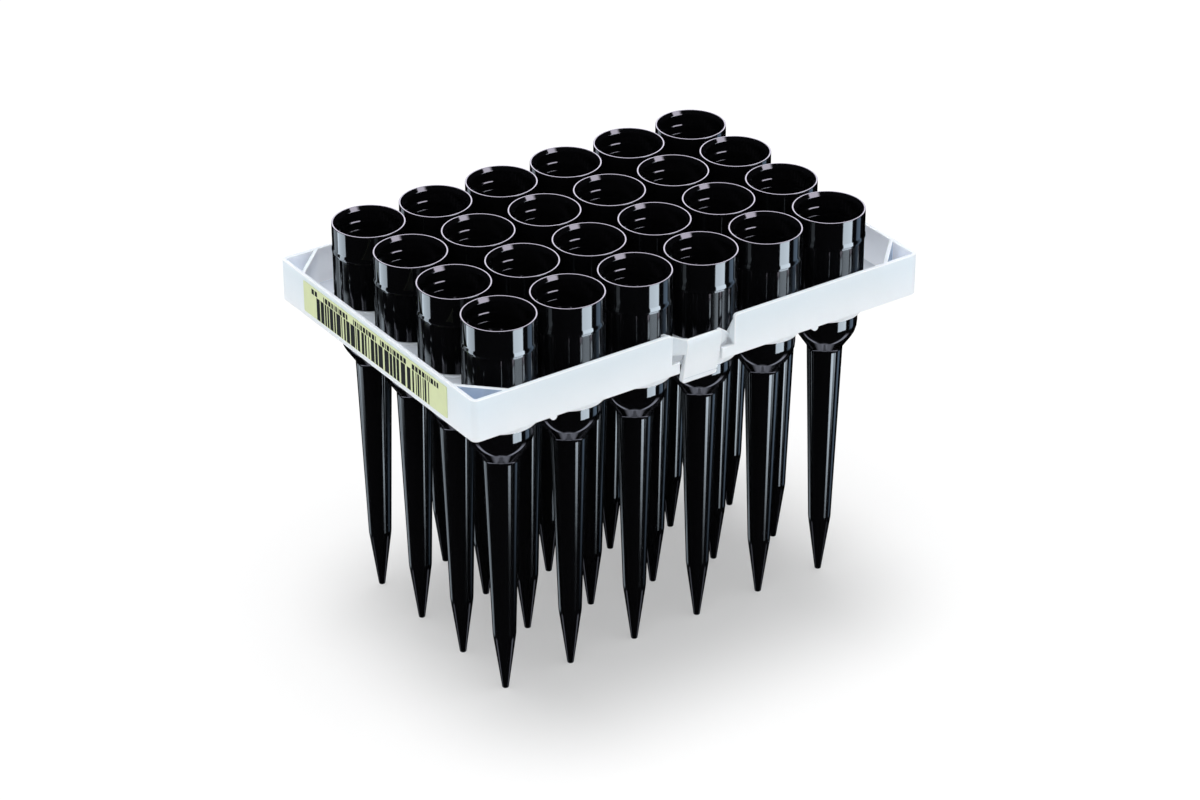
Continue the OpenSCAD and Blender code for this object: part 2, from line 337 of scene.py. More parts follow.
def moulded_grain_group():
    """The fine texture that a mould leaves: a broad cloudiness and a fine grain."""
    tree, start, end = new_group(
        "Moulded grain", "ShaderNodeTree",
        [("Cloud Scale", FLOAT, 60.0), ("Grain Scale", FLOAT, 2500.0)],
        [("Cloud", FLOAT, None), ("Grain", FLOAT, None)])
    place = add_node(tree, "ShaderNodeTexCoord")
    cloud = add_node(tree, "ShaderNodeTexNoise", {"Detail": 3.0, "Roughness": 0.55})
    grain = add_node(tree, "ShaderNodeTexNoise", {"Detail": 2.0, "Roughness": 0.6})
    wire(tree, (place.outputs["Object"], cloud.inputs["Vector"]),
         (place.outputs["Object"], grain.inputs["Vector"]),
         (start["Cloud Scale"], cloud.inputs["Scale"]),
         (start["Grain Scale"], grain.inputs["Scale"]),
         (cloud.outputs[0], end["Cloud"]), (grain.outputs[0], end["Grain"]))
    return tree


def shared_group(name, build):
    """The shader group of that name, built the first time that it is asked for."""
    return bpy.data.node_groups.get(name) or build()


def new_material(name, values):
    """A material whose Principled shader has the values, with its tree and shader inputs."""
    material = bpy.data.materials.new(name)
    material.use_nodes = True
    tree = material.node_tree
    shader = tree.nodes["Principled BSDF"].inputs
    for label, value in values.items():
        shader[label].default_value = value
    return material, tree, shader


def moulded_grain(tree, cloud, grain):
    """Places the moulded grain at two scales. Returns its outputs."""
    return use_group(tree, shared_group("Moulded grain", moulded_grain_group),
                     {"Cloud Scale": cloud, "Grain Scale": grain}).outputs


def blend(tree, share, first, second):
    """Mixes two colours by a 0 to 1 socket. Returns the colour."""
    node = add_node(tree, "ShaderNodeMix", data_type="RGBA")
    node.inputs["A"].default_value = (*first, 1.0)
    node.inputs["B"].default_value = (*second, 1.0)
    wire(tree, (share, node.inputs["Factor"]))
    return node.outputs["Result"]


def spread(tree, value, low, high):
    """Maps a 0 to 1 socket to the range from low to high."""
    node = add_node(tree, "ShaderNodeMapRange", {"To Min": low, "To Max": high})
    wire(tree, (value, node.inputs["Value"]))
    return node.outputs["Result"]


def bump(tree, height, distance, strength):
    """A Bump node on a height socket. Returns its normal."""
    node = add_node(tree, "ShaderNodeBump", {"Distance": distance, "Strength": strength})
    wire(tree, (height, node.inputs["Height"]))
    return node.outputs["Normal"]


# ------------------------------ materials

def black_plastic(colour, sleeve_low, sleeve_high):
    """Black moulded plastic, bright on the collar and shaft and duller on the sleeve."""
    material, tree, shader = new_material(
        "Black tip plastic", {"Base Color": (*colour, 1.0), "IOR": 1.5})
    mask_group = shared_group("Height mask", height_mask_group)
    edge = 0.1 * MM
    above_foot, above_top = [use_group(tree, mask_group, {"Low": z - edge, "High": z}).outputs[0]
                             for z in (sleeve_low, sleeve_high)]
    on_sleeve = maths(tree, "SUBTRACT", above_foot, above_top)
    grain = moulded_grain(tree, 220.0, 3500.0)
    polish = spread(tree, grain["Cloud"], 0.035, 0.075)
    wire(tree, (maths(tree, "MULTIPLY_ADD", on_sleeve, 0.14, polish), shader["Roughness"]),
         (maths(tree, "MULTIPLY_ADD", on_sleeve, -0.36, 0.5), shader["Specular IOR Level"]),
         (bump(tree, grain["Cloud"], 0.02 * MM, 0.15), shader["Normal"]))
    return material


def frosted_plastic(name, upper, lower, painted_glow, low, high):
    """Frosted, slightly see-through moulded plastic, with painted shade that makes it darker and
    bluer near the rim, where the black tips stand behind the walls.

    The painted glow is light that the surface gives off, painted in for light that would come
    through the walls from behind."""
    material, tree, shader = new_material(name, {
        "IOR": 1.49, "Specular IOR Level": 0.12, "Subsurface Weight": 0.5,
        "Subsurface Radius": (1.0, 1.0, 1.0), "Subsurface Scale": 2.5 * MM,
        "Emission Color": (*painted_glow, 1.0), "Emission Strength": 1.0})
    grain = moulded_grain(tree, 70.0, 2600.0)
    # painted shade: from the lower colour to the darker upper one towards the rim
    rim_shade = use_group(tree, shared_group("Height mask", height_mask_group),
                     {"Low": low, "High": high})
    drift = maths(tree, "MULTIPLY_ADD", grain["Cloud"], 0.5, -0.25)
    share = maths(tree, "ADD", rim_shade.outputs[0], drift)
    wire(tree, (blend(tree, share, lower, upper), shader["Base Color"]),
         (spread(tree, grain["Cloud"], 0.42, 0.56), shader["Roughness"]),
         (bump(tree, grain["Grain"], 0.02 * MM, 0.35), shader["Normal"]))
    return material


def label_paper(colour):
    """Coated label stock with a faint mottle."""
    material, tree, shader = new_material("Label stock", {"Specular IOR Level": 0.1})
    grain = moulded_grain(tree, 400.0, 5000.0)
    mottle = blend(tree, grain["Cloud"], [0.93 * part for part in colour],
                   [min(1.0, 1.05 * part) for part in colour])
    wire(tree, (mottle, shader["Base Color"]),
         (spread(tree, grain["Grain"], 0.5, 0.62), shader["Roughness"]),
         (bump(tree, grain["Grain"], 0.01 * MM, 0.2), shader["Normal"]))
    return material


def label_ink(colour):
    """Black thermal print, a little uneven."""
    material, tree, shader = new_material("Label ink", {"Specular IOR Level": 0.04})
    grain = moulded_grain(tree, 900.0, 6000.0)
    wire(tree, (blend(tree, grain["Cloud"], colour, [3 * part for part in colour]),
                shader["Base Color"]),
         (spread(tree, grain["Grain"], 0.45, 0.6), shader["Roughness"]))
    return material


# ------------------------------ tips

def round_corners(corners, guard=0.15 * MM, share=0.45, arc_step=12):
    """A closed outline of (radius, height) points from (radius, height, round) corners.

    Each corner becomes an arc with a point every few degrees, which takes up no more than
    its share of either side. One more point at the guard distance from each of its ends
    keeps smooth shading inside the arc."""
    points = []
    for number, (x, z, rounding) in enumerate(corners):
        here = Vector((x, z))
        before = Vector(corners[number - 1][:2]) - here
        after = Vector(corners[(number + 1) % len(corners)][:2]) - here
        turn = math.pi - before.angle(after)
        reach = rounding * math.tan(turn / 2)
        room = share * min(before.length, after.length)
        if reach > room:
            rounding *= room / reach
            reach = room
        before.normalize()
        after.normalize()
        side = math.copysign(1.0, after.x * before.y - after.y * before.x)
        centre = here + before * reach + side * rounding * Vector((before.y, -before.x))
        steps = max(2, math.ceil(math.degrees(turn) / arc_step))
        arm = here + before * reach - centre
        margin = min(guard, 0.3 * (room - reach) + 0.05 * room)
        points.append(here + before * (reach + margin))
        for step in range(steps + 1):
            points.append(centre + Matrix.Rotation(side * turn * step / steps, 2) @ arm)
        points.append(here + after * (reach + margin))
    return points


def tip_corners(sizes, length, rim_radius):
    """Corners (radius, height, round) of a tip's section, up the outside and down the bore."""
    soft = sizes.edge_round
    collar_z = length - sizes.collar_height
    groove_z = collar_z - sizes.groove_height
    seat_z = collar_z - sizes.sleeve_height
    slope = math.tan(sizes.shoulder_angle)
    cut = math.tan(sizes.shoulder_angle / 2)
    shoulder_z = seat_z - sizes.barrel_height - sizes.shoulder_round * cut
    neck_z = shoulder_z - (sizes.barrel_radius - sizes.neck_radius) / slope
    collar = rim_radius - sizes.collar_relief
    outside = [
        (sizes.end_radius, 0.0, 0.2 * MM),
        (sizes.shaft_end_radius, sizes.point_height, sizes.point_round),
        (sizes.neck_radius, neck_z, sizes.neck_round),
        (sizes.barrel_radius, shoulder_z, sizes.shoulder_round),
        (sizes.barrel_radius, seat_z, soft),
        (sizes.sleeve_radius, seat_z, 2 * soft),
        (sizes.sleeve_radius, groove_z, soft),
        (sizes.groove_radius, groove_z, soft / 2),
        (sizes.groove_radius, collar_z, soft / 2),
        (rim_radius, collar_z, 2 * soft),
        (rim_radius, collar_z + sizes.flare_foot, 4 * soft),
        (collar, collar_z + sizes.flare_height, 12 * soft),
        (collar, length, 1.5 * soft),
    ]
    mouth = collar - sizes.rim_land
    ring = sizes.socket_radius + sizes.lower_step
    land = ring + sizes.upper_step
    top = length - sizes.lead_in
    upper_z = top - sizes.mouth_land
    lower_z = upper_z - sizes.ring_land
    floor_z = lower_z - sizes.socket_height
    inner = sizes.barrel_radius - sizes.wall
    inside = [
        (mouth, length, soft),
        (land, top, soft),
        (land, upper_z + sizes.upper_step, soft / 3),
        (ring, upper_z, soft / 3),
        (ring, lower_z + sizes.lower_step, 3 * soft),
        (sizes.socket_radius, lower_z, 3 * soft),
        (sizes.socket_radius, floor_z, soft),
        (inner, floor_z - (sizes.socket_radius - inner), soft),
        (inner, shoulder_z, sizes.shoulder_round - sizes.wall),
        (sizes.neck_radius - sizes.wall, neck_z, sizes.neck_round),
        (sizes.shaft_end_radius - sizes.wall, sizes.point_height, sizes.point_round),
        (sizes.orifice_radius, 0.0, soft),
    ]
    return outside + inside


def outline_mesh(points):
    """A mesh of edges that joins (radius, height) points into a closed loop in the XZ plane."""
    mesh = bpy.data.meshes.new("Tip section")
    count = len(points)
    mesh.from_pydata([(point.x, 0.0, point.y) for point in points],
                     [(number, (number + 1) % count) for number in range(count)], [])
    return mesh


def turned_tip_tree():
    """Turns a section round the axis, adds upright ribs on the sleeve and puts it in its place."""
    tree, start, end = new_group(
        "Turned tip", "GeometryNodeTree",
        [("Section", GEOMETRY, None), ("Segments", INT, 64), ("Axis Radius", FLOAT, 0.005),
         ("Ribs", INT, 18), ("Rib Radius", FLOAT, 0.0003), ("Rib Circle", FLOAT, 0.0083),
         ("Rib Foot", FLOAT, 0.0), ("Rib Height", FLOAT, 0.01), ("Turn", VECTOR, None),
         ("Place", VECTOR, None), ("Material", MATERIAL, None)],
        [("Geometry", GEOMETRY, None)])

    # the section lies flat for the sweep: radius from the sweep's circle, height downwards
    place = add_node(tree, "GeometryNodeInputPosition")
    split = add_node(tree, "ShaderNodeSeparateXYZ")
    flat = add_node(tree, "ShaderNodeCombineXYZ")
    lay = add_node(tree, "GeometryNodeSetPosition")
    section = add_node(tree, "GeometryNodeMeshToCurve")
    circle = add_node(tree, "GeometryNodeCurvePrimitiveCircle")
    sweep = add_node(tree, "GeometryNodeCurveToMesh")
    wire(tree, (place.outputs[0], split.inputs[0]),
         (maths(tree, "SUBTRACT", split.outputs["X"], start["Axis Radius"]), flat.inputs["X"]),
         (maths(tree, "MULTIPLY", split.outputs["Z"], -1.0), flat.inputs["Y"]),
         (start["Section"], lay.inputs["Geometry"]),
         (flat.outputs[0], lay.inputs["Position"]),
         (lay.outputs[0], section.inputs["Mesh"]),
         (start["Segments"], circle.inputs["Resolution"]),
         (start["Axis Radius"], circle.inputs["Radius"]),
         (circle.outputs["Curve"], sweep.inputs["Curve"]),
         (section.outputs[0], sweep.inputs["Profile Curve"]))

    # round ribs sunk into the sleeve
    spots = add_node(tree, "GeometryNodeMeshCircle")
    rib = add_node(tree, "GeometryNodeMeshCylinder", {"Vertices": 20})
    lift = add_node(tree, "GeometryNodeTransform")
    middle = add_node(tree, "ShaderNodeCombineXYZ")
    ribs = add_node(tree, "GeometryNodeInstanceOnPoints")
    wire(tree, (start["Ribs"], spots.inputs["Vertices"]),
         (start["Rib Circle"], spots.inputs["Radius"]),
         (start["Rib Radius"], rib.inputs["Radius"]),
         (start["Rib Height"], rib.inputs["Depth"]),
         (maths(tree, "MULTIPLY_ADD", start["Rib Height"], 0.5, start["Rib Foot"]),
          middle.inputs["Z"]),
         (rib.outputs["Mesh"], lift.inputs["Geometry"]),
         (middle.outputs[0], lift.inputs["Translation"]),
         (spots.outputs[0], ribs.inputs["Points"]),
         (lift.outputs[0], ribs.inputs["Instance"]))

    join = add_node(tree, "GeometryNodeJoinGeometry")
    move = add_node(tree, "GeometryNodeTransform")
    real = add_node(tree, "GeometryNodeRealizeInstances")
    smooth = add_node(tree, "GeometryNodeSetShadeSmooth")
    paint = add_node(tree, "GeometryNodeSetMaterial")
    wire(tree, (ribs.outputs[0], join.inputs[0]), (sweep.outputs[0], join.inputs[0]),
         (join.outputs[0], move.inputs["Geometry"]),
         (start["Turn"], move.inputs["Rotation"]),
         (start["Place"], move.inputs["Translation"]),
         (move.outputs[0], real.inputs[0]), (real.outputs[0], smooth.inputs["Geometry"]),
         (smooth.outputs[0], paint.inputs["Geometry"]),
         (start["Material"], paint.inputs["Material"]), (paint.outputs[0], end["Geometry"]))
    return tree


class RACK_OT_tips(bpy.types.Operator):
    """Makes the turned black tips, one for each node of the frame"""

    bl_idname = "rack.make_tips"
    bl_label = "Make Tips"

    def execute(self, context):
        sizes = context.scene.rack_tips
        low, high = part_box(TIP_NODES[0])
        length = high.z - low.z
        rim_radius = (high.x - low.x) / 2
        collar_z = length - sizes.collar_height
        seat_z = collar_z - sizes.sleeve_height
        groove_z = collar_z - sizes.groove_height
        points = round_corners(tip_corners(sizes, length, rim_radius))
        material = black_plastic(context.scene.rack_finishes.black_plastic, seat_z, groove_z)
        tree = turned_tip_tree()
        draw = random.Random(sizes.seed)
        for node in TIP_NODES:
            low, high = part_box(node)
            tip = run_tree(outline_mesh(points), tree, {
                "Segments": sizes.segments,
                "Axis Radius": sizes.neck_radius,
                "Ribs": sizes.rib_count,
                "Rib Radius": sizes.rib_radius,
                "Rib Circle": sizes.sleeve_radius + sizes.rib_proud - sizes.rib_radius,
                "Rib Foot": seat_z + 2 * sizes.edge_round,
                "Rib Height": groove_z - seat_z - 3 * sizes.edge_round,
                "Turn": (0.0, 0.0, draw.uniform(0.0, math.tau)),
                "Place": ((low.x + high.x) / 2, (low.y + high.y) / 2, low.z),
                "Material": material,
            }, "black_" + node)
            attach(tip, BODY)
            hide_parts(node)
        return {"FINISHED"}


# ------------------------------ tray

# places of the tray's finishes in its list of materials: plain plastic, painted highlight, painted
# groove shade, painted deck shade, painted web shade and the inner sides' painted glow
PLASTIC, EDGE_HIGHLIGHT, GROOVE_SHADE, DECK_SHADE, WEB_SHADE, INSIDE_GLOW = range(6)


def weigh_edges(skin, angle, room):
    """Gives the weight 1 to outer edges that turn more than the angle, if they have room.

    The overhanging side of a groove with less room gets the groove's painted shade."""
    weights = skin.edges.layers.float.new("bevel_weight_edge")
    skin.normal_update()
    for edge in skin.edges:
        if edge.is_manifold and edge.calc_face_angle() > angle:
            start, stop = (corner.co for corner in edge.verts)
            along = (stop - start).normalized()
            narrow = [face for face in edge.link_faces if room > max(
                (corner.co - start).cross(along).length for corner in face.verts)]
            edge[weights] = float(edge.is_convex and not narrow)
            for face in narrow:
                if not edge.is_convex and face.normal.z < 0:
                    face.material_index = GROOVE_SHADE


def sort_faces(skin, least_area=20 * MM * MM, level_z=0.99, upright_z=0.1, slant=0.25):
    """Gives large faces their painted shade and light: the deck and the webs' outer sides get
    shade, the walls' inner sides a glow. The last three values say which normals count as level,
    upright and slanting."""
    for face in skin.faces:
        way = face.normal
        if face.calc_area() > least_area:
            if way.z > level_z:
                # painted shade on the deck
                face.material_index = DECK_SHADE
            elif way.dot(face.calc_center_median()) < 0 and abs(way.z) < upright_z:
                # painted light and a painted glow on the walls' inner sides
                face.material_index = INSIDE_GLOW
            elif min(abs(way.x), abs(way.y)) > slant:
                # painted shade on the webs' outer sides
                face.material_index = WEB_SHADE


def merged_copy(source, name, cuts, angle, room):
    """A copy of a frame node's mesh as one closed skin of flat and curved faces.

    It is cut at each X in cuts, so that no face keeps a hole inside its outline."""
    skin = bmesh.new()
    skin.from_mesh(source.data)
    bmesh.ops.remove_doubles(skin, verts=skin.verts, dist=0.001 * MM)
    for cut in cuts:
        parts = skin.verts[:] + skin.edges[:] + skin.faces[:]
        sliced = bmesh.ops.bisect_plane(skin, geom=parts, dist=0.0001 * MM,
                                        plane_co=(cut, 0, 0), plane_no=(1, 0, 0))
        for part in sliced["geom_cut"]:
            if isinstance(part, bmesh.types.BMEdge):
                part.seam = True
    bmesh.ops.dissolve_limit(skin, angle_limit=math.radians(1.0), verts=skin.verts,
                             edges=skin.edges, delimit={"SEAM"})
    weigh_edges(skin, angle, room)
    sort_faces(skin)
    mesh = bpy.data.meshes.new(name)
    skin.to_mesh(mesh)
    skin.free()
    return mesh


def pull_back(mesh, surface, limit):
    """Puts points that a rounded edge threw further than the limit back on the surface."""
    for vertex in mesh.vertices:
        place, _, _, distance = surface.find_nearest(vertex.co)
        if distance > limit:
            vertex.co = place


class RACK_OT_tray(bpy.types.Operator):
    """Makes the frosted tray with rounded moulded edges"""

    bl_idname = "rack.make_tray"
    bl_label = "Make Tray"

    def execute(self, context):
        sizes = context.scene.rack_tray
        colours = context.scene.rack_finishes
        middles = {round(sum(side.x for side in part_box(tip)) / 2, 6) for tip in TIP_NODES}
        mesh = merged_copy(frame["nodes"]["tray"], "frosted_tray", sorted(middles | {0.0}),
                           sizes.edge_angle, sizes.edge_room * sizes.edge_width)
        surface = BVHTree.FromPolygons([vertex.co for vertex in mesh.vertices],
                                       [face.vertices for face in mesh.polygons])
        low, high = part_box("tray")
        # each finish's upper and lower colour; all but the plastic's lower colour carry painted
        # shade or light
        for name, upper, lower in (("plastic", colours.tray_shaded_upper, colours.tray_lower),
                                   ("edge", colours.tray_painted_light, colours.tray_painted_light),
                                   ("groove", colours.tray_groove_shade, colours.tray_groove_shade),
                                   ("deck", colours.tray_deck_shade, colours.tray_deck_shade),
                                   ("web", colours.tray_web_shade, colours.tray_web_shade),
                                   ("inside", colours.tray_painted_light, colours.tray_painted_light)):
            # only the inner sides get the painted glow
            painted_glow = colours.tray_painted_glow if name == "inside" else (0.0, 0.0, 0.0)
            mesh.materials.append(frosted_plastic("Frosted tray " + name, upper, lower, painted_glow,
                                                  low.z + sizes.shade_foot, high.z))
        tray = bpy.data.objects.new("frosted_tray", mesh)
        context.scene.collection.objects.link(tray)
        edges = tray.modifiers.new("Edges", "BEVEL")
        edges.width = sizes.edge_width
        edges.segments = sizes.edge_steps
        edges.limit_method = "WEIGHT"
        edges.use_clamp_overlap = False
        # the rounded edges get the whiter painted highlight
        edges.material = EDGE_HIGHLIGHT
        depsgraph = context.evaluated_depsgraph_get()
        tray.data = bpy.data.meshes.new_from_object(tray.evaluated_get(depsgraph))
        tray.modifiers.remove(edges)
        pull_back(tray.data, surface, 0.5 * sizes.edge_width)
        tray.data.polygons.foreach_set("use_smooth", [True] * len(tray.data.polygons))
        normals = tray.modifiers.new("Normals", "WEIGHTED_NORMAL")
        normals.weight = 100
        tray.visible_glossy = False
        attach(tray, BODY)
        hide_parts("tray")
        return {"FINISHED"}


# ------------------------------ label

def printed_bars_tree():
    """A row of upright printed bars along Y whose widths and gaps are drawn at random."""
    tree, start, end = new_group(
        "Printed bars", "GeometryNodeTree",
        [("Geometry", GEOMETRY, None), ("Count", INT, 40), ("Length", FLOAT, 0.05),
         ("Height", FLOAT, 0.005), ("Thickness", FLOAT, 0.00001), ("Widest Bar", INT, 4),
         ("Widest Gap", INT, 2), ("Group", INT, 1000), ("Seed", INT, 0), ("Place", VECTOR, None),
         ("Material", MATERIAL, None)],
        [("Geometry", GEOMETRY, None)])
    line = add_node(tree, "GeometryNodeMeshLine")
    index = add_node(tree, "GeometryNodeInputIndex")
    bar = add_node(tree, "FunctionNodeRandomValue", data_type="INT")
    gap = add_node(tree, "FunctionNodeRandomValue", data_type="INT")
    total = add_node(tree, "GeometryNodeAccumulateField")
    for draw, top in ((bar, start["Widest Bar"]), (gap, start["Widest Gap"])):
        draw.inputs[4].default_value = 1
        wire(tree, (top, draw.inputs[5]))
    wire(tree, (start["Seed"], bar.inputs["Seed"]),
         (maths(tree, "ADD", start["Seed"], 1.0), gap.inputs["Seed"]))
    width, space = bar.outputs[2], gap.outputs[2]
    wire(tree, (maths(tree, "ADD", width, space), total.inputs[0]))
    module = maths(tree, "DIVIDE", start["Length"], total.outputs["Total"])
    centre = maths(tree, "MULTIPLY_ADD", width, 0.5, total.outputs["Trailing"])
    along = maths(tree, "SUBTRACT", maths(tree, "MULTIPLY", centre, module),
                  maths(tree, "MULTIPLY", start["Length"], 0.5))
    spot = add_node(tree, "ShaderNodeCombineXYZ")
    lay = add_node(tree, "GeometryNodeSetPosition")
    box = add_node(tree, "GeometryNodeMeshCube")
    size = add_node(tree, "ShaderNodeCombineXYZ", {"Y": 1.0})
    stretch = add_node(tree, "ShaderNodeCombineXYZ", {"X": 1.0, "Z": 1.0})
    bars = add_node(tree, "GeometryNodeInstanceOnPoints")
    in_group = maths(tree, "LESS_THAN",
                     maths(tree, "MODULO", index.outputs[0], start["Group"]),
                     maths(tree, "SUBTRACT", start["Group"], 2.5))
    move = add_node(tree, "GeometryNodeTransform")
    real = add_node(tree, "GeometryNodeRealizeInstances")
    paint = add_node(tree, "GeometryNodeSetMaterial")
    wire(tree, (start["Count"], line.inputs["Count"]), (along, spot.inputs["Y"]),
         (line.outputs[0], lay.inputs["Geometry"]), (spot.outputs[0], lay.inputs["Position"]),
         (start["Thickness"], size.inputs["X"]), (start["Height"], size.inputs["Z"]),
         (size.outputs[0], box.inputs["Size"]),
         (maths(tree, "MULTIPLY", width, module), stretch.inputs["Y"]),
         (lay.outputs[0], bars.inputs["Points"]), (box.outputs["Mesh"], bars.inputs["Instance"]),
         (in_group, bars.inputs["Selection"]), (stretch.outputs[0], bars.inputs["Scale"]),
         (bars.outputs[0], move.inputs["Geometry"]),
         (start["Place"], move.inputs["Translation"]), (move.outputs[0], real.inputs[0]),
         (real.outputs[0], paint.inputs["Geometry"]),
         (start["Material"], paint.inputs["Material"]), (paint.outputs[0], end["Geometry"]))
    return tree


def rounded_card(low, high, corner):
    """A thin upright card between two corners, with round corners in the YZ plane."""
    card = bmesh.new()
    outline = []
    for sign_y, sign_z, start in ((1, 1, 0), (-1, 1, 90), (-1, -1, 180), (1, -1, 270)):
        y = (high.y if sign_y > 0 else low.y) - sign_y * corner
        z = (high.z if sign_z > 0 else low.z) - sign_z * corner
        for step in range(5):
            angle = math.radians(start + step * 90 / 4)
            outline.append(card.verts.new((high.x, y + corner * math.cos(angle),
                                           z + corner * math.sin(angle))))
    face = card.faces.new(outline)
    grown = bmesh.ops.extrude_face_region(card, geom=[face])["geom"]
    bmesh.ops.translate(card, vec=(low.x - high.x, 0, 0),
                        verts=[part for part in grown if isinstance(part, bmesh.types.BMVert)])
    bmesh.ops.recalc_face_normals(card, faces=card.faces)
    mesh = bpy.data.meshes.new("label_sticker")
    card.to_mesh(mesh)
    card.free()
    return mesh


class RACK_OT_label(bpy.types.Operator):
    """Makes the label with its printed bars"""

    bl_idname = "rack.make_label"
    bl_label = "Make Label"

    def execute(self, context):
        sizes = context.scene.rack_label
        colours = context.scene.rack_finishes
        low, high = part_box("label")
        face_x = low.x + sizes.print_thickness
        card = rounded_card(Vector((face_x, low.y, low.z)), high, sizes.corner_round)
        card.materials.append(label_paper(colours.paper))
        label = bpy.data.objects.new("label_sticker", card)
        context.scene.collection.objects.link(label)
        ink = label_ink(colours.ink)
        tree = printed_bars_tree()
        middle = (low.y + high.y) / 2
        rows = []
        # each row's widest bar, widest gap, number of bars in a group and seed
        for name, number, length, height, shift, lift, bar, gap, group, seed in (
                ("bars", sizes.bar_count, sizes.bars_length, sizes.bars_height,
                 sizes.bars_middle, sizes.bars_lift, 5, 2, 1000, sizes.seed),
                ("marks", sizes.mark_count, sizes.marks_length, sizes.marks_height,
                 0.0, sizes.marks_lift, 3, 1, 12, sizes.seed + 5)):
            rows.append(run_tree(bpy.data.meshes.new(name), tree, {
                "Count": number, "Length": length, "Height": height, "Widest Bar": bar,
                "Widest Gap": gap, "Group": group, "Seed": seed, "Material": ink,
                "Thickness": sizes.print_thickness,
                "Place": (face_x - sizes.print_thickness / 2, middle + shift,
                          low.z + lift + height / 2)}, name))
        with context.temp_override(active_object=label, object=label,
                                   selected_editable_objects=[label, *rows],
                                   selected_objects=[label, *rows]):
            bpy.ops.object.join()
        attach(label, BODY)
        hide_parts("label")
        return {"FINISHED"}


# ------------------------------ stage

def direction(azimuth, elevation):
    """The unit vector that points out at an azimuth and elevation; azimuth 0 is -Y."""
    flat = math.cos(elevation)
    return Vector((math.sin(azimuth) * flat, -math.cos(azimuth) * flat, math.sin(elevation)))


def softbox_group():
    """1 inside an upright window of the sky and 0 outside, with soft edges, by direction."""
    tree, start, end = new_group(
        "Softbox", "ShaderNodeTree",
        [("Azimuth", FLOAT, 0.0), ("Half Width", FLOAT, 0.3), ("Low", FLOAT, -0.5),
         ("High", FLOAT, 0.5), ("Feather", FLOAT, 0.02), ("Fade", FLOAT, 0.05)],
        [("Mask", FLOAT, None)])
    way = add_node(tree, "ShaderNodeTexCoord")
    split = add_node(tree, "ShaderNodeSeparateXYZ")
    wire(tree, (way.outputs["Generated"], split.inputs[0]))
    heading = maths(tree, "ARCTAN2", split.outputs["X"],
                    maths(tree, "MULTIPLY", split.outputs["Y"], -1.0))
    offset = maths(tree, "ABSOLUTE", maths(tree, "WRAP",
                   maths(tree, "SUBTRACT", heading, start["Azimuth"]), math.pi, -math.pi))
    climb = maths(tree, "ARCSINE", split.outputs["Z"])

    def soft_step(value, edge, softness):
        inside = maths(tree, "DIVIDE", maths(tree, "SUBTRACT", edge, value), softness)
        node = add_node(tree, "ShaderNodeClamp")
        wire(tree, (maths(tree, "ADD", inside, 0.5), node.inputs[0]))
        return node.outputs[0]

    across = soft_step(offset, start["Half Width"], start["Feather"])
    under = soft_step(climb, start["High"], start["Fade"])
    over = soft_step(maths(tree, "MULTIPLY", climb, -1.0),
                     maths(tree, "MULTIPLY", start["Low"], -1.0), start["Fade"])
    wire(tree, (maths(tree, "MULTIPLY", across, maths(tree, "MULTIPLY", under, over)),
                end["Mask"]))
    return tree


# tints of the light from all round and of the softboxes
NEUTRAL = (0.98, 1.0, 1.02)
BLUE = (0.86, 1.0, 1.13)
DUSK = (0.68, 0.97, 1.35)
LILAC = (0.98, 0.93, 1.1)
COOL = (0.9, 0.95, 1.15)
# softboxes as (azimuth from the camera, width, lowest, highest, feather at the sides,
# fade above and below, all in degrees, then strength and tint)
SOFTBOXES = (
    (52.5, 17.0, -33.8, 30.0, 2.0, 2.4, 11.0, BLUE),
    (69.0, 16.0, -31.5, 30.0, 2.0, 3.0, 11.0, BLUE),
    (60.5, 33.0, -22.0, 30.0, 2.0, 6.0, 3.5, BLUE),
    (106.0, 20.0, -33.0, -15.0, 4.0, 4.0, 1.1, DUSK),
    (-93.0, 34.0, -31.0, -19.0, 2.0, 3.0, 6.0, BLUE),
    (-86.0, 18.0, -21.0, 5.0, 2.0, 5.0, 7.0, BLUE),
    (-120.0, 30.0, -36.5, -15.0, 3.0, 4.0, 1.2, BLUE),
    (66.5, 39.0, 35.0, 62.0, 3.0, 3.0, 10.0, LILAC),
    (180.0, 60.0, 16.0, 45.0, 6.0, 6.0, 7.0, LILAC),
    (180.0, 182.0, -130.0, -72.0, 4.0, 8.0, 0.9, COOL),
    (0.0, 360.0, -130.0, -83.0, 16.0, 4.0, 0.75, COOL),
    (100.0, 22.0, -74.0, -44.0, 4.0, 8.0, 2.1, COOL),
    (-100.0, 22.0, -74.0, -44.0, 4.0, 8.0, 2.1, COOL),
)


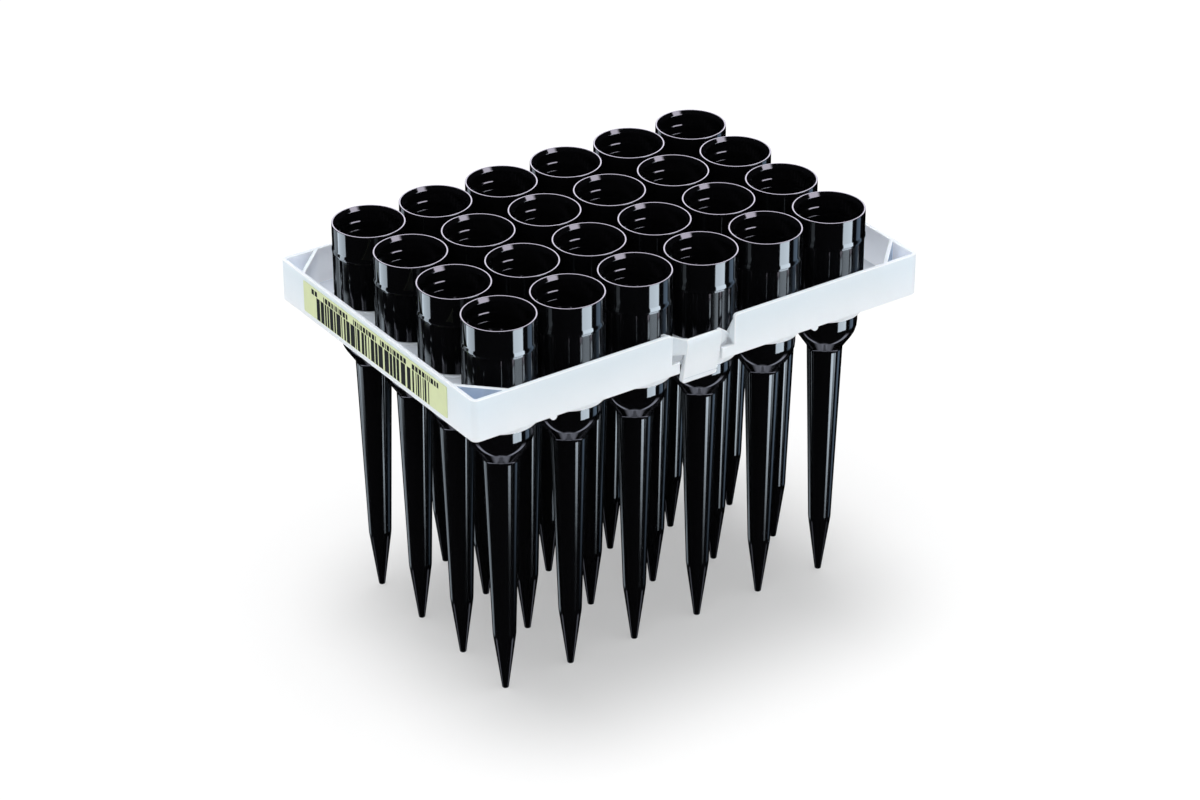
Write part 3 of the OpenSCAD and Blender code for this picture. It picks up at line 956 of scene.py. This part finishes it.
def studio_world(stage):
    """White for the camera, plain soft light on the object, softboxes in its reflections."""
    world = bpy.data.worlds.new("Studio")
    world.use_nodes = True
    world.cycles.sampling_method = "NONE"
    tree = world.node_tree
    tree.nodes.clear()
    group = softbox_group()
    total = None
    for azimuth, width, low, high, feather, fade, strength, tint in SOFTBOXES:
        window = use_group(tree, group, {
            "Azimuth": stage.azimuth + math.radians(azimuth),
            "Half Width": math.radians(width / 2), "Low": math.radians(low),
            "High": math.radians(high), "Feather": math.radians(feather),
            "Fade": math.radians(fade)})
        light = add_node(tree, "ShaderNodeVectorMath",
                         {1: [strength * part for part in tint]}, operation="MULTIPLY_ADD")
        wire(tree, (window.outputs[0], light.inputs[0]))
        if total:
            wire(tree, (total, light.inputs[2]))
        total = light.outputs[0]
    soft = add_node(tree, "ShaderNodeBackground", {"Color": (*NEUTRAL, 1.0),
                                                   "Strength": stage.ambient})
    boxes = add_node(tree, "ShaderNodeBackground", {"Strength": 1.0})
    white = add_node(tree, "ShaderNodeBackground", {"Color": (1, 1, 1, 1), "Strength": 1.0})
    rays = add_node(tree, "ShaderNodeLightPath")
    seen = maths(tree, "MAXIMUM", rays.outputs["Is Camera Ray"],
                 rays.outputs["Is Transmission Ray"])
    mirrored = add_node(tree, "ShaderNodeMixShader")
    shown = add_node(tree, "ShaderNodeMixShader")
    output = add_node(tree, "ShaderNodeOutputWorld")
    wire(tree, (total, boxes.inputs["Color"]),
         (rays.outputs["Is Glossy Ray"], mirrored.inputs[0]),
         (soft.outputs[0], mirrored.inputs[1]), (boxes.outputs[0], mirrored.inputs[2]),
         (seen, shown.inputs[0]), (mirrored.outputs[0], shown.inputs[1]),
         (white.outputs[0], shown.inputs[2]), (shown.outputs[0], output.inputs["Surface"]))
    return world


def floor_material(stage):
    """A pale matt floor that the camera sees as white and that keeps soft shadows, with a painted
    shadow where the camera sees less light added under the rack.
    """
    material = bpy.data.materials.new("Pale floor")
    material.use_nodes = True
    tree = material.node_tree
    tree.nodes.clear()
    # painted shadow: the light that the camera sees added grows with the distance from the dim
    # patch under the rack
    place = add_node(tree, "ShaderNodeTexCoord").outputs["Object"]
    for operation, values in (("SUBTRACT", {1: stage.painted_shadow_middle}), ("ABSOLUTE", {}),
                              ("SUBTRACT", {1: stage.painted_shadow_half}),
                              ("MAXIMUM", {1: (0.0, 0.0, 0.0)}), ("LENGTH", {})):
        step = add_node(tree, "ShaderNodeVectorMath", values, operation=operation)
        wire(tree, (place, step.inputs[0]))
        place = step.outputs[0]
    lift = add_node(tree, "ShaderNodeMapRange", {
        "From Max": stage.painted_shadow_reach, "To Min": stage.shadow_lift,
        "To Max": stage.floor_lift}, interpolation_type="SMOOTHSTEP")
    seen = add_node(tree, "ShaderNodeLightPath").outputs["Is Camera Ray"]
    colour = blend(tree, seen, stage.floor_colour,
                   [stage.floor_seen * part for part in stage.floor_colour])
    matt = add_node(tree, "ShaderNodeBsdfDiffuse")
    glow = add_node(tree, "ShaderNodeEmission")
    both = add_node(tree, "ShaderNodeAddShader")
    output = add_node(tree, "ShaderNodeOutputMaterial")
    wire(tree, (step.outputs["Value"], lift.inputs["Value"]), (colour, matt.inputs["Color"]),
         (maths(tree, "MULTIPLY", seen, lift.outputs["Result"]), glow.inputs["Strength"]),
         (matt.outputs[0], both.inputs[0]), (glow.outputs[0], both.inputs[1]),
         (both.outputs[0], output.inputs["Surface"]))
    return material


class RACK_OT_stage(bpy.types.Operator):
    """Makes the floor, the lights and the camera"""

    bl_idname = "rack.make_stage"
    bl_label = "Make Stage"

    def execute(self, context):
        stage = context.scene.rack_stage
        self.make_floor(context, stage)
        self.make_lamp(context, stage)
        context.scene.world = studio_world(stage)
        self.make_camera(context, stage)
        context.scene.view_settings.view_transform = "Standard"
        return {"FINISHED"}

    def make_floor(self, context, stage):
        half = stage.floor_size / 2
        mesh = bpy.data.meshes.new("Floor")
        mesh.from_pydata([(x * half, y * half, cad_low.z)
                          for x, y in ((-1, -1), (1, -1), (1, 1), (-1, 1))],
                         [], [(0, 1, 2, 3)])
        mesh.materials.append(floor_material(stage))
        floor = bpy.data.objects.new("Floor", mesh)
        context.scene.collection.objects.link(floor)
        floor.visible_glossy = False

    def make_lamp(self, context, stage):
        data = bpy.data.lights.new("Overhead", "AREA")
        data.shape = "DISK"
        data.size = stage.lamp_size
        data.energy = stage.lamp_power
        lamp = bpy.data.objects.new("Overhead", data)
        lamp.location = (0.0, 0.0, stage.lamp_height)
        lamp.visible_camera = False
        lamp.visible_glossy = False
        context.scene.collection.objects.link(lamp)

    def make_camera(self, context, stage):
        data = bpy.data.cameras.new("Camera")
        data.lens = stage.lens
        data.clip_start = 0.01
        data.clip_end = 100.0
        camera = bpy.data.objects.new("Camera", data)
        context.scene.collection.objects.link(camera)
        back = direction(stage.azimuth, stage.elevation)
        camera.location = Vector(stage.aim) + back * stage.distance
        aim = (-back).to_track_quat("-Z", "Y").to_matrix().to_4x4()
        turn = Matrix.Rotation(stage.roll, 4, "Z")
        camera.rotation_euler = (aim @ turn).to_euler()
        context.scene.camera = camera


# ------------------------------ add-on

class RACK_PT_panel(bpy.types.Panel):
    """Lists the rack's pieces and their settings"""

    bl_idname = "RACK_PT_panel"
    bl_label = "Tip Rack"
    bl_space_type = "VIEW_3D"
    bl_region_type = "UI"
    bl_category = "Tip Rack"

    def draw(self, context):
        scene = context.scene
        for operator, settings in ((RACK_OT_tips, scene.rack_tips),
                                   (RACK_OT_tray, scene.rack_tray),
                                   (RACK_OT_label, scene.rack_label),
                                   (RACK_OT_stage, scene.rack_stage)):
            box = self.layout.box()
            for name in settings.__annotations__:
                box.prop(settings, name)
            box.operator(operator.bl_idname)
        colours = self.layout.box()
        for name in scene.rack_finishes.__annotations__:
            colours.prop(scene.rack_finishes, name)


SETTINGS = {"rack_tips": TipSizes, "rack_tray": TraySizes, "rack_label": LabelSizes,
            "rack_finishes": Finishes, "rack_stage": StageSettings}
CLASSES = (*SETTINGS.values(), RACK_OT_tips, RACK_OT_tray, RACK_OT_label, RACK_OT_stage,
           RACK_PT_panel)


def register():
    for item in CLASSES:
        bpy.utils.register_class(item)
    for name, group in SETTINGS.items():
        setattr(bpy.types.Scene, name, PointerProperty(type=group))


def unregister():
    for name in SETTINGS:
        delattr(bpy.types.Scene, name)
    for item in reversed(CLASSES):
        bpy.utils.unregister_class(item)


def main():
    register()
    bpy.ops.rack.make_tips()
    bpy.ops.rack.make_tray()
    bpy.ops.rack.make_label()
    bpy.ops.rack.make_stage()


if __name__ == "__main__":
    main()
